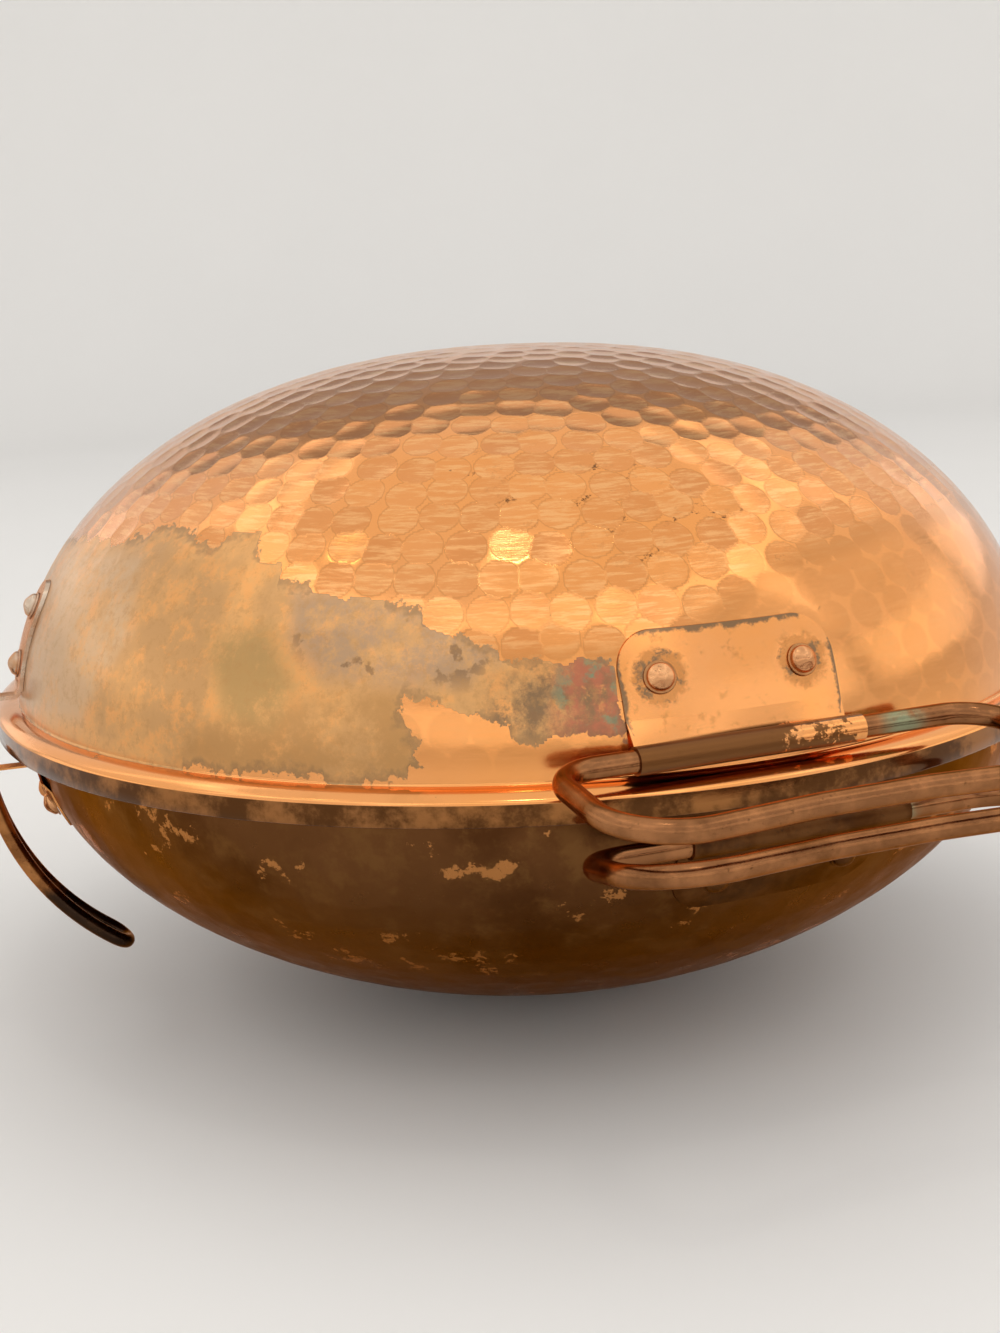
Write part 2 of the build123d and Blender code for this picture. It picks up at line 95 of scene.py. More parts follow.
def grid_object(name, grid, smooth=True):
    """A mesh from rows x columns of points, closed round its columns."""
    rows, columns, _ = grid.shape
    mesh = bpy.data.meshes.new(name)
    index = np.arange(rows * columns).reshape(rows, columns)
    top, low = index[:-1], index[1:]
    quads = np.stack([top, np.roll(top, -1, axis=1), np.roll(low, -1, axis=1), low], axis=-1)
    quads = quads.reshape(-1, 4)
    mesh.vertices.add(rows * columns)
    mesh.vertices.foreach_set("co", grid.reshape(-1).astype(np.float32))
    mesh.loops.add(quads.size)
    mesh.loops.foreach_set("vertex_index", quads.reshape(-1).astype(np.int32))
    mesh.polygons.add(len(quads))
    mesh.polygons.foreach_set("loop_start", (np.arange(len(quads)) * 4).astype(np.int32))
    mesh.update(calc_edges=True)
    mesh.validate()
    if smooth:
        mesh.shade_smooth()
    obj = bpy.data.objects.new(name, mesh)
    bpy.context.scene.collection.objects.link(obj)
    return obj


def set_field(obj, name, values):
    """Stores one number for each point, for the material to read."""
    layer = obj.data.attributes.new(name, "FLOAT", "POINT")
    layer.data.foreach_set("value", np.asarray(values, np.float32))


# ---------------------------------------------------------------- the domes
def dome_outline(radius, rise, side_power, base_z, way, rows, flat=0.0, last=90.0):
    """(radius, z) points evenly spaced along a dome's wall, from its rim.

    The wall turns through last degrees. Where flat is given, a smooth bend then takes it
    to a level disk of that radius. way is 1 for a dome and -1 for a bowl.
    """
    turns = np.radians(np.linspace(0.0, last, 2000))
    out = radius * np.cos(turns) ** (2 / side_power)
    up = rise * np.sin(turns) ** (2 / CROWN_POWER)
    if flat:
        share = np.linspace(0, 1, 200)[1:]
        slope = (up[-1] - up[-2]) / (out[-1] - out[-2])
        start, end = np.array([out[-1], up[-1]]), np.array([flat, rise])
        knee = np.array([out[-1] + (rise - up[-1]) / slope, rise])
        bend = ((1 - share) ** 2)[:, None] * start + (2 * share * (1 - share))[:, None] * knee
        bend += (share ** 2)[:, None] * end
        out = np.append(out, bend[:, 0])
        up = np.append(up, bend[:, 1])
    along = np.append(0, np.cumsum(np.hypot(np.diff(out), np.diff(up))))
    even = np.linspace(0, along[-1], rows)
    return np.interp(even, along, out), base_z + way * np.interp(even, along, up)


def spin(out, up, columns):
    """Points of the outline turned round Z from the front: rows x columns x 3."""
    out, up = np.asarray(out), np.asarray(up)
    angle = np.arange(columns) * TAU / columns
    grid = np.empty((len(out), columns, 3))
    grid[:, :, 0] = out[:, None] * np.sin(angle)
    grid[:, :, 1] = -out[:, None] * np.cos(angle)
    grid[:, :, 2] = up[:, None]
    return grid


def outline_normals(out, up, way):
    """Outward (radius, z) direction at each outline point."""
    d_out, d_up = np.gradient(out), np.gradient(up)
    normal = np.stack([d_up, -d_out], axis=1) * way
    return normal / np.linalg.norm(normal, axis=1)[:, None]


def hammer_blows(out, up, seed):
    """Centres and depths of the blows, in rings that a smith works round the dome."""
    rng = np.random.default_rng(seed)
    along = np.append(0, np.cumsum(np.hypot(np.diff(out), np.diff(up))))
    centres, depths = [], []
    for ring, step in enumerate(np.arange(0.4 * BLOW_SPACING, along[-1], RING_SPACING)):
        radius = np.interp(step, along, out)
        count = max(1, int(round(TAU * radius / BLOW_SPACING)))
        for number in range(count):
            here = step + rng.normal(0, BLOW_SCATTER) * BLOW_SPACING
            around = (number + 0.5 * (ring % 2) + rng.normal(0, BLOW_SCATTER)) * TAU / count
            r, z = np.interp(here, along, out), np.interp(here, along, up)
            centres.append((r * math.sin(around), -r * math.cos(around), z))
            depths.append(BLOW_DEPTH * rng.uniform(0.75, 1.15))
    return np.array(centres), np.array(depths)


def dimples(grid, centres, depths, out, up):
    """How far each point is hammered in, and the number of the blow it belongs to."""
    rows, columns, _ = grid.shape
    pitch = np.hypot(np.diff(out), np.diff(up)).mean()
    window = 1.7 * BLOW_RADIUS
    reach = int(window / pitch) + 2
    best = np.full((rows, columns), -1e3)
    owner = np.zeros((rows, columns), int)
    for number, (centre, deep) in enumerate(zip(centres, depths)):
        radius = math.hypot(centre[0], centre[1])
        row = int(np.argmin(np.abs(out - radius) + np.abs(up - centre[2])))
        first, last = max(0, row - reach), min(rows, row + reach + 1)
        narrow = max(out[first:last].min(), 1e-4)
        half = min(int(window / narrow * columns / TAU) + 2, (columns - 1) // 2)
        turn = math.atan2(centre[0], -centre[1])
        across = (round(turn * columns / TAU) + np.arange(-half, half + 1)) % columns
        block = np.ix_(range(first, last), across)
        gap = ((grid[block] - centre) ** 2).sum(axis=-1)
        dent = deep * (1 - gap / BLOW_RADIUS ** 2)
        better = dent > best[block]
        best[block] = np.where(better, dent, best[block])
        owner[block] = np.where(better, number, owner[block])
    return np.maximum(best, 0.0), owner


def smoothstep(low, high, value):
    """0 below low, 1 above high and a smooth rise between."""
    share = np.clip((value - low) / (high - low), 0, 1)
    return share * share * (3 - 2 * share)


def hammered(grid, normals, fade, seed, out, up):
    """The grid pushed in by its blows, each point's blow centre, its dent and its tone.

    The dent goes from 0 between the marks to 1 inside them, and the tone is one random
    number for each mark.
    """
    columns = grid.shape[1]
    centres, depths = hammer_blows(out, up, seed)
    depth, owner = dimples(grid, centres, depths, out, up)
    dent = smoothstep(0.0, 0.16, depth / BLOW_DEPTH) * np.minimum(1, fade * 1.3)
    depth = depth * fade
    angle = np.arange(columns) * TAU / columns
    push = np.empty_like(grid)
    push[:, :, 0] = normals[:, 0, None] * np.sin(angle)
    push[:, :, 1] = -normals[:, 0, None] * np.cos(angle)
    push[:, :, 2] = normals[:, 1, None]
    tone = np.random.default_rng(seed + 1).uniform(0, 1, len(centres))[owner]
    return grid - push * depth[:, :, None], centres[owner], dent, tone


def polygon_distance(points, corners):
    """Signed distance to a closed outline: above 0 inside it."""
    nearest = np.full(len(points), 1e9)
    inside = np.zeros(len(points), bool)
    for a, b in zip(corners, np.roll(corners, -1, axis=0)):
        edge = b - a
        share = np.clip(((points - a) @ edge) / (edge @ edge), 0, 1)
        gap = points - (a + share[:, None] * edge)
        nearest = np.minimum(nearest, np.hypot(gap[:, 0], gap[:, 1]))
        crosses = (a[1] > points[:, 1]) != (b[1] > points[:, 1])
        rise = b[1] - a[1] if b[1] != a[1] else 1e-9
        left = points[:, 0] < a[0] + (points[:, 1] - a[1]) * edge[0] / rise
        inside ^= crosses & left
    return np.where(inside, nearest, -nearest)


# ---------------------------------------------------------------- patina
# Outlines on the wall as (degrees round from the front, mm above the table).
MM_PER_DEGREE = 2.7
PATINA = [(-128, 139), (-112, 151), (-90, 156), (-74, 160.5), (-66.5, 163.5), (-59.5, 160.8),
          (-52.5, 164.5), (-50.8, 157.5), (-48, 154.8), (-42.3, 151.8), (-37.8, 150.5),
          (-31.6, 146), (-28.3, 141), (-24.8, 137), (-13.8, 135.5), (-13.6, 115.5),
          (-17.8, 119), (-21, 116.5), (-25.7, 120.5), (-29, 124.5), (-30, 127.4),
          (-33.4, 130), (-34.7, 126.5), (-32.7, 117), (-31, 109.7), (-38, 108.3),
          (-44.4, 108.7), (-56.4, 107.2), (-68, 105.5), (-92, 107), (-118, 112), (-133, 124)]
BACK_PATINA = [(128, 118), (139, 136), (152, 149), (166, 143), (178, 150), (196, 139),
               (204, 121), (188, 113), (170, 117), (151, 110), (137, 109)]

# Parts of the patina by colour, and where the bright copper has dark flecks.
ZONES = {
    "blush": [[(-19.5, 112), (-13.0, 112), (-13.0, 137.5), (-17.5, 138), (-19.5, 128)],
              [(166, 118), (186, 119), (184, 140), (170, 138)]],
    "mauve": [[(-46, 151), (-40, 152), (-33.4, 147.5), (-26.8, 141), (-23.5, 137), (-27, 130.5),
               (-34, 130), (-41, 131.5), (-45, 140)],
              [(142, 128), (160, 128), (160, 146), (146, 144)]],
    "dusk": [[(-25.3, 130), (-19.7, 135.5), (-13, 136.5), (-13, 114), (-21, 115.5), (-25.5, 120)],
             [(184, 114), (200, 118), (197, 138), (186, 136)]],
    "olive": [[(-55, 140), (-48, 143), (-44, 129), (-46, 119), (-51, 120)],
              [(-112, 120), (-98, 118), (-96, 140), (-108, 142)]],
    "umber": [[(-56, 115), (-49, 122.5), (-40, 126.5), (-34, 129.5), (-30, 108), (-50, 106),
               (-57, 108)],
              [(148, 112), (178, 114), (176, 126), (152, 124)]],
    "pale": [[(-98, 108), (-72, 112), (-66, 138), (-70, 156), (-100, 154)]],
    "flecks": [[(-33, 172), (-24, 186), (-9, 181), (5, 168), (9, 152), (-6, 150), (-18, 155)],
               [(120, 178), (150, 188), (165, 170), (140, 160)]],
}
# Where the bowl's dark coat is rubbed through.
BOWL_BARE = [[(-51, 74), (-49, 82), (-43, 83), (-40, 78), (-44, 72)],
             [(-31, 79), (-28, 86), (-22, 84), (-25, 78)],
             [(-40, 54), (-38, 60), (-34, 60), (-33, 55)],
             [(60, 60), (66, 72), (80, 70), (74, 58)],
             [(160, 60), (170, 74), (184, 66), (172, 54)],
             [(-120, 50), (-112, 66), (-98, 60), (-108, 48)]]
# Above this line round the lid the hammer marks grow deep.
FADE_TURNS = (-180, -75, -50, -38, -8, 4, 25, 70, 180)
FADE_HEIGHTS = (138, 150, 142, 133, 134, 150, 156, 150, 138)


def patch_field(points, outlines):
    """Signed distance in mm to the nearest of the outlines on the wall."""
    around = np.degrees(np.arctan2(points[:, 0], -points[:, 1]))
    flat = np.stack([around * MM_PER_DEGREE, points[:, 2] / MM], axis=1)
    best = np.full(len(points), -1e9)
    for outline in outlines:
        corners = np.array(outline, float)
        corners[:, 0] *= MM_PER_DEGREE
        for turn in (-360, 0, 360):
            moved = corners + np.array([turn * MM_PER_DEGREE, 0])
            best = np.maximum(best, polygon_distance(flat, moved))
    return best


def scalloped(points, owners, outlines):
    """The patch's distance, stepped so that its edge follows the hammer marks."""
    return 0.45 * patch_field(points, outlines) + 0.55 * patch_field(owners, outlines)


def lid_fade(up):
    """How deep the lid's marks are at each height and place round it, as a share."""
    turn = np.degrees(np.arange(LID_COLUMNS) * TAU / LID_COLUMNS)
    turn = np.where(turn > 180, turn - 360, turn)
    start = np.interp(turn, FADE_TURNS, FADE_HEIGHTS) * MM
    height = up[:, None]
    fade = 0.13 + 0.62 * smoothstep(start - 4 * MM, start + 10 * MM, height)
    fade += 0.75 * smoothstep(168 * MM, 186 * MM, height)
    return fade * smoothstep(RIM_Z + 4 * MM, RIM_Z + 12 * MM, height)


def lid_object():
    """The hammered dome, bead, skirt and tinned inside as one closed skin."""
    out, up = dome_outline(LID_RADIUS, LID_RISE, LID_SIDE_POWER, RIM_Z, 1, LID_ROWS)
    keep = up > RIM_Z + BEAD_RISE
    out, up = out[keep], up[keep]
    wall, owner, dent, tone = hammered(spin(out, up, LID_COLUMNS), outline_normals(out, up, 1),
                                       lid_fade(up), LID_SEED, out, up)
    bead = [(LID_RADIUS + (RIM_RADIUS - LID_RADIUS) * t,
             RIM_Z + BEAD_RISE * (1 - t) + BEAD_CURL * math.sin(math.pi * t) ** 0.8)
            for t in np.linspace(0, 1, 9)[1:]]
    skirt_inside = RIM_RADIUS - SHEET
    edge = [(RIM_RADIUS, RIM_Z - EDGE_ROUND), (RIM_RADIUS, (RIM_Z + SKIRT_Z) / 2),
            (RIM_RADIUS, SKIRT_Z + EDGE_ROUND), (RIM_RADIUS - EDGE_ROUND, SKIRT_Z),
            (skirt_inside + CORNER, SKIRT_Z), (skirt_inside, SKIRT_Z + CORNER),
            (skirt_inside, RIM_Z - SHEET), (LID_RADIUS - SHEET, RIM_Z - SHEET)]
    inner_out, inner_up = dome_outline(LID_RADIUS - SHEET, LID_RISE - SHEET, LID_SIDE_POWER,
                                       RIM_Z, 1, LID_INSIDE_ROWS)
    rest = np.array(bead + edge + list(zip(inner_out, inner_up)))
    skin = spin(rest[:, 0], rest[:, 1], LID_COLUMNS)
    grid = np.concatenate([wall[::-1], skin])
    lid = grid_object("lid_hammered_shell", grid)
    owners = np.concatenate([owner[::-1], skin]).reshape(-1, 3)
    points = grid.reshape(-1, 3)
    patina = scalloped(points, owners, [PATINA, BACK_PATINA])
    set_field(lid, "patina", patina)
    for name, outlines in ZONES.items():
        set_field(lid, name, smoothstep(-4.0, 4.0, patch_field(points, outlines)))
    blank = np.zeros(skin.shape[:2])
    set_field(lid, "dent", np.concatenate([dent[::-1], blank]).reshape(-1))
    set_field(lid, "tone", np.concatenate([tone[::-1], blank + 0.5]).reshape(-1))
    first = len(wall) + len(bead)
    last = first + SKIRT_ROWS
    inside = np.zeros(grid.shape[:2])
    inside[last:] = 1
    set_field(lid, "inside", inside.reshape(-1))
    skirt = np.zeros(grid.shape[:2])
    skirt[first:last] = 1
    set_field(lid, "skirt", skirt.reshape(-1))
    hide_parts("lid_shell")
    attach(lid, "lid")
    return lid


def bowl_object():
    """The hammered dish with its level flange and tinned inside."""
    depth = SKIRT_Z
    out, up = dome_outline(BOWL_RADIUS, depth, BOWL_SIDE_POWER, SKIRT_Z, -1, BOWL_ROWS,
                           FOOT_RADIUS, BOWL_BEND)
    height = SKIRT_Z - up
    fade = 0.5 * smoothstep(2 * MM, 16 * MM, height) * smoothstep(0, 6 * MM, depth - height)
    wall, _, _, tone = hammered(spin(out, up, BOWL_COLUMNS), outline_normals(out, up, -1),
                                fade[:, None], BOWL_SEED, out, up)
    flange = RIM_RADIUS - SHEET - SKIRT_PLAY
    under = RIM_Z - 2 * SHEET
    inside_radius = BOWL_RADIUS - SHEET
    over = RIM_Z - SHEET
    bend = SHEET / 2
    rim = [(BOWL_RADIUS, under), (flange - CORNER, under), (flange, under + CORNER),
           (flange, over - CORNER), (flange - CORNER, over),
           (inside_radius + bend, over), (inside_radius, over - bend)]
    inner_out, inner_up = dome_outline(inside_radius, depth - SHEET, BOWL_SIDE_POWER, SKIRT_Z,
                                       -1, BOWL_INSIDE_ROWS, FOOT_RADIUS, BOWL_BEND)
    foot = [(POLE, 0.0), (FOOT_RADIUS / 2, 0.0)]
    floor = [(FOOT_RADIUS / 2, SHEET), (POLE, SHEET)]
    before = spin(*zip(*foot), BOWL_COLUMNS)
    after = np.array(rim + list(zip(inner_out, inner_up)) + floor)
    skin = spin(after[:, 0], after[:, 1], BOWL_COLUMNS)
    grid = np.concatenate([before, wall[::-1], skin])
    bowl = grid_object("bowl_hammered_shell", grid)
    points = grid.reshape(-1, 3)
    inside = np.zeros(grid.shape[:2])
    inside[len(before) + len(wall) + FLANGE_ROWS:] = 1
    set_field(bowl, "inside", inside.reshape(-1))
    bare = smoothstep(-3.0, 3.0, patch_field(points, BOWL_BARE))
    set_field(bowl, "bare", bare)
    blank_low, blank = np.zeros(before.shape[:2]), np.zeros(skin.shape[:2])
    set_field(bowl, "tone", np.concatenate([blank_low, tone[::-1], blank]).reshape(-1))
    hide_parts("bowl_shell")
    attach(bowl, "bowl")
    return bowl


# ---------------------------------------------------------------- materials
class Nodes:
    """A material's node tree, with short ways to add and join nodes."""

    def __init__(self, name):
        self.material = bpy.data.materials.new(name)
        self.material.use_nodes = True
        self.tree = self.material.node_tree
        self.tree.nodes.clear()
        self.out = self.add("ShaderNodeOutputMaterial")
        self.shader = self.add("ShaderNodeBsdfPrincipled")
        self.join(self.shader, "BSDF", self.out, "Surface")
        self.place = self.add("ShaderNodeTexCoord")

    def add(self, kind, **settings):
        node = self.tree.nodes.new(kind)
        for key, value in settings.items():
            setattr(node, key, value)
        return node

    def join(self, a, a_socket, b, b_socket):
        self.tree.links.new(a.outputs[a_socket], b.inputs[b_socket])

    def feed(self, node, socket, value):
        """A link if value is a (node, socket) pair, and otherwise a constant."""
        if isinstance(value, tuple) and hasattr(value[0], "outputs"):
            self.tree.links.new(value[0].outputs[value[1]], node.inputs[socket])
        else:
            node.inputs[socket].default_value = value

    def noise(self, scale, detail=4.0, roughness=0.55, stretch=None, apart=None):
        """Noise in the object's own coordinates; scale is per metre.

        Where apart is given, each of its values gets a pattern of its own.
        """
        source = (self.place, "Object")
        if stretch:
            mapping = self.add("ShaderNodeMapping")
            self.feed(mapping, "Vector", source)
            mapping.inputs["Scale"].default_value = stretch
            source = (mapping, "Vector")
        node = self.add("ShaderNodeTexNoise")
        self.feed(node, "Vector", source)
        node.inputs["Scale"].default_value = scale
        node.inputs["Detail"].default_value = detail
        node.inputs["Roughness"].default_value = roughness
        if apart:
            node.noise_dimensions = "4D"
            self.feed(node, "W", apart)
        return (node, "Fac")

    def ramp(self, value, low, high, a=0.0, b=1.0, smooth=True):
        """value between low and high carried to a and b."""
        node = self.add("ShaderNodeMapRange")
        node.interpolation_type = "SMOOTHSTEP" if smooth else "LINEAR"
        self.feed(node, "Value", value)
        node.inputs["From Min"].default_value = low
        node.inputs["From Max"].default_value = high
        node.inputs["To Min"].default_value = a
        node.inputs["To Max"].default_value = b
        return (node, "Result")

    def maths(self, kind, a, b):
        """One sum of two values, each a pair or a constant."""
        node = self.add("ShaderNodeMath", operation=kind)
        self.feed(node, 0, a)
        self.feed(node, 1, b)
        return (node, "Value")

    def mix(self, share, a, b):
        """Colour a to colour b."""
        node = self.add("ShaderNodeMix", data_type="RGBA")
        self.feed(node, 0, share)
        self.feed(node, 6, a if isinstance(a[0], bpy.types.Node) else (*a, 1.0))
        self.feed(node, 7, b if isinstance(b[0], bpy.types.Node) else (*b, 1.0))
        return (node, 2)

    def field(self, name):
        """A number stored on the mesh by set_field."""
        node = self.add("ShaderNodeAttribute", attribute_name=name)
        return (node, "Fac")

    def place_on(self, axis):
        """The point's place on one axis of the object's own coordinates, in metres."""
        node = self.add("ShaderNodeSeparateXYZ")
        self.feed(node, 0, (self.place, "Object"))
        return (node, axis)

    def near(self, place, close, far, counts=(1, 1, 1)):
        """1 within close of a place and 0 beyond far, by the axes that count."""
        flat = self.add("ShaderNodeVectorMath", operation="MULTIPLY")
        self.feed(flat, 0, (self.place, "Object"))
        flat.inputs[1].default_value = counts
        node = self.add("ShaderNodeVectorMath", operation="DISTANCE")
        self.feed(node, 0, (flat, "Vector"))
        node.inputs[1].default_value = place
        return self.ramp((node, "Value"), close, far, 1.0, 0.0)

    def bump(self, value, distance, strength, below=None):
        """A bump whose full height is distance, on top of the one below."""
        node = self.add("ShaderNodeBump")
        self.feed(node, "Height", value)
        node.inputs["Distance"].default_value = distance
        node.inputs["Strength"].default_value = strength
        if below:
            self.feed(node, "Normal", below)
        return (node, "Normal")

    def finish(self, colour, roughness, normal=None, metallic=1.0, tint=None):
        """Feeds the shader; tint colours what metal reflects at its edges."""
        self.feed(self.shader, "Base Color", colour)
        self.feed(self.shader, "Roughness", roughness)
        self.feed(self.shader, "Metallic", metallic)
        if normal:
            self.feed(self.shader, "Normal", normal)
        if tint:
            self.shader.inputs["Specular Tint"].default_value = (*tint, 1.0)
        return self.material


BRIGHT = (0.86, 0.355, 0.105)
SALMON = (0.83, 0.36, 0.125)
ROSE = (0.66, 0.26, 0.085)
# A pale copper used as a painted highlight on the lid's brushed marks.
SHEEN_PALE = (0.96, 0.56, 0.24)
DULL = (0.47, 0.195, 0.058)
GOLD = (0.72, 0.375, 0.14)
OCHRE = (0.56, 0.31, 0.13)
SAND = (0.60, 0.40, 0.235)
OAK = (0.47, 0.25, 0.095)
OLIVE = (0.42, 0.265, 0.105)
MAUVE = (0.42, 0.275, 0.17)
DUSK = (0.20, 0.13, 0.075)
RUBBED = (0.78, 0.36, 0.12)
SLATE = (0.25, 0.145, 0.075)
PINK = (0.50, 0.16, 0.09)
GREEN = (0.24, 0.25, 0.15)
FLECK = (0.22, 0.095, 0.035)
SKIRT = (0.095, 0.038, 0.012)
BROWN = (0.075, 0.027, 0.008)
# A near-black used for pits, for the painted shade on the bowl's bracket and for the painted dark
# reflection on the bail's end.
PIT_AND_SHADE_BLACK = (0.02, 0.015, 0.012)
UMBER = (0.135, 0.055, 0.018)
TAN = (0.20, 0.092, 0.028)
TIN = (0.62, 0.61, 0.58)
WORN_TIN = (0.45, 0.42, 0.38)
WARM_EDGE = (1.0, 0.60, 0.42)
PAPER = (0.83, 0.825, 0.815)
PALE_PAPER = (0.86, 0.855, 0.845)

LID_BARREL = (0.0, -165.66 * MM, 111.5 * MM)
BARREL_ENDS = [(36.5 * MM, -165.7 * MM, 111.5 * MM), (36.5 * MM, -162.6 * MM, 86.5 * MM)]
BAIL_TIP = 46 * MM
# In mm: how far the plate's sides are in from its barrel's ends, and how high the barrel is.
PLATE_INSET = 2.0
BARREL_HEIGHT = 7.0


def bright_copper(n, dent, brushed, mottle):
    """The lid's polished colour: each mark a tone of its own and painted darker inside as shade,
    with a painted sheen on its brushed grain and a thin painted shade line round its edge.
    """
    bright = n.mix(n.ramp(n.noise(14, 5), 0.35, 0.65), BRIGHT, SALMON)
    bright = n.mix(n.ramp(mottle, 0.5, 0.8, 0, 0.3), bright, DULL)
    # Partly painted shade: each mark's inside is darkened towards rose, by its own random tone
    # and by the dent.
    shade = n.maths("MULTIPLY", dent, n.ramp(n.field("tone"), 0, 1, 0.05, 0.75, False))
    bright = n.mix(shade, bright, ROSE)
    # Painted sheen: brushed streaks inside the marks are lightened to pale copper, real grain
    # shown as a painted highlight.
    grain_sheen = n.maths("MULTIPLY", dent, n.ramp(brushed, 0.46, 0.62, 0, 0.45))
    bright = n.mix(grain_sheen, bright, SHEEN_PALE)
    # Painted shade: a thin dark line along each mark's edge, where the dent meets the smooth
    # copper.
    outline = n.maths("MULTIPLY", n.ramp(dent, 0.0, 0.35), n.ramp(dent, 0.9, 0.4))
    bright = n.mix(n.maths("MULTIPLY", outline, 0.4), bright, DULL)
    fleck = n.maths("MULTIPLY", n.ramp(n.noise(150, 9, 0.8), 0.57, 0.60), n.field("flecks"))
    fleck = n.maths("MULTIPLY", fleck, n.maths("ADD", n.ramp(dent, 0.75, 0.1), 0.12))
    bright = n.mix(fleck, bright, FLECK)
    return n.mix(n.ramp(n.noise(230, 8, 0.8), 0.685, 0.70, 0, 0.85), bright, FLECK)


def stained_copper(n, edge):
    """The patina's colour, zone by zone; edge is the distance in from its outline in mm."""
    stain = n.mix(n.ramp(n.noise(30, 8, 0.62), 0.40, 0.60), OCHRE, GOLD)
    stain = n.mix(n.ramp(n.noise(120, 9, 0.74), 0.49, 0.62, 0, 0.65), stain, RUBBED)
    wisps = n.noise(52, 9, 0.78)
    for name, colour, most in (("pale", SAND, 0.8), ("umber", OAK, 0.85), ("olive", OLIVE, 0.8),
                               ("mauve", MAUVE, 0.85), ("dusk", DUSK, 0.9)):
        zone = n.maths("MULTIPLY", n.field(name), n.ramp(wisps, 0.38, 0.54, 0.15, most))
        stain = n.mix(zone, stain, colour)
    dark_zones = n.maths("ADD", n.field("dusk"), n.field("mauve"))
    blots = n.maths("MULTIPLY", dark_zones, n.ramp(n.noise(88, 5, 0.6), 0.60, 0.64, 0, 0.75))
    stain = n.mix(blots, stain, SLATE)
    rust = n.maths("MULTIPLY", n.field("dusk"), n.ramp(n.noise(70, 8, 0.7), 0.55, 0.60, 0, 0.8))
    stain = n.mix(rust, stain, RUBBED)
    pink = n.maths("MULTIPLY", n.field("blush"), n.ramp(n.noise(90, 7, 0.7), 0.36, 0.56, 0, 0.8))
    stain = n.mix(pink, stain, PINK)
    verdigris = n.maths("MULTIPLY", n.field("blush"), n.ramp(n.noise(110, 7, 0.7), 0.53, 0.64))
    stain = n.mix(verdigris, stain, GREEN)
    stain = n.mix(n.ramp(n.noise(300, 9, 0.8), 0.50, 0.60, 0, 0.4), stain, OAK)
    return n.mix(n.ramp(edge, 1.5, 0.2, 0, 0.45), stain, DUSK)


def tin(n):
    """The dull tin that both shells are lined with."""
    return n.mix(n.ramp(n.noise(30, 6), 0.35, 0.7), TIN, WORN_TIN)


def lid_material():
    """Bright hammered copper with a scalloped patina patch, and tin inside."""
    n = Nodes("lid_hammered_copper")
    dent = n.field("dent")
    own_pattern = n.maths("MULTIPLY", n.field("tone"), 40.0)
    brushed = n.noise(95, 5, 0.7, (1, 1, 10), own_pattern)
    mottle = n.noise(60, 8, 0.65)
    wander = n.ramp(n.noise(330, 6, 0.6), 0.2, 0.8, -0.9, 0.9)
    edge = n.maths("ADD", n.field("patina"), wander)
    patch = n.ramp(edge, -0.12, 0.12)
    outer = n.mix(patch, bright_copper(n, dent, brushed, mottle), stained_copper(n, edge))
    # The skirt is coloured near-black brown, unevenly.
    skirt_darkening = n.ramp(n.noise(55, 7, 0.7), 0.40, 0.60, 0.72, 1.0)
    outer = n.mix(n.maths("MULTIPLY", n.field("skirt"), skirt_darkening), outer, SKIRT)
    inner = n.ramp(n.field("inside"), 0.45, 0.55)
    colour = n.mix(inner, outer, tin(n))
    rough = n.ramp(brushed, 0.3, 0.7, 0.11, 0.19)
    rough = n.maths("ADD", rough, n.maths("MULTIPLY", patch, 0.17))
    rough = n.maths("ADD", rough, n.maths("MULTIPLY", inner, 0.14))
    normal = n.bump(n.maths("MULTIPLY", brushed, dent), 0.06 * MM, 0.4)
    normal = n.bump(mottle, 0.2 * MM, 0.3, normal)
    return n.finish(colour, rough, normal)


def bowl_material():
    """Dark, blotchy hammered copper with rubbed places, and tin inside; its dark coat is partly
    patina and partly painted shade for the dark ground it reflects.
    """
    n = Nodes("bowl_hammered_copper")
    mottle = n.noise(75, 8, 0.7)
    # Partly painted shade: the dark brown base is the bowl's patina and also stands in for the
    # dark ground it reflects.
    dark = n.mix(n.ramp(n.noise(16, 6, 0.6), 0.4, 0.62), BROWN, UMBER)
    dark = n.mix(n.ramp(mottle, 0.48, 0.68, 0, 0.6), dark, TAN)
    dark = n.mix(n.ramp(n.field("tone"), 0, 1, 0, 0.25, False), dark, BROWN)
    frayed = n.maths("ADD", n.noise(48, 9, 0.72), n.maths("MULTIPLY", n.field("bare"), 0.13))
    rubbed = n.ramp(frayed, 0.605, 0.625, 0, 0.85)
    dark = n.mix(rubbed, dark, DULL)
    colour = n.mix(n.ramp(n.field("inside"), 0.45, 0.55), dark, tin(n))
    rough = n.ramp(mottle, 0.3, 0.7, 0.26, 0.42)
    rough = n.maths("SUBTRACT", rough, n.maths("MULTIPLY", rubbed, 0.08))
    normal = n.bump(n.noise(260, 7, 0.7), 0.12 * MM, 0.6)
    return n.finish(colour, rough, normal, tint=WARM_EDGE)


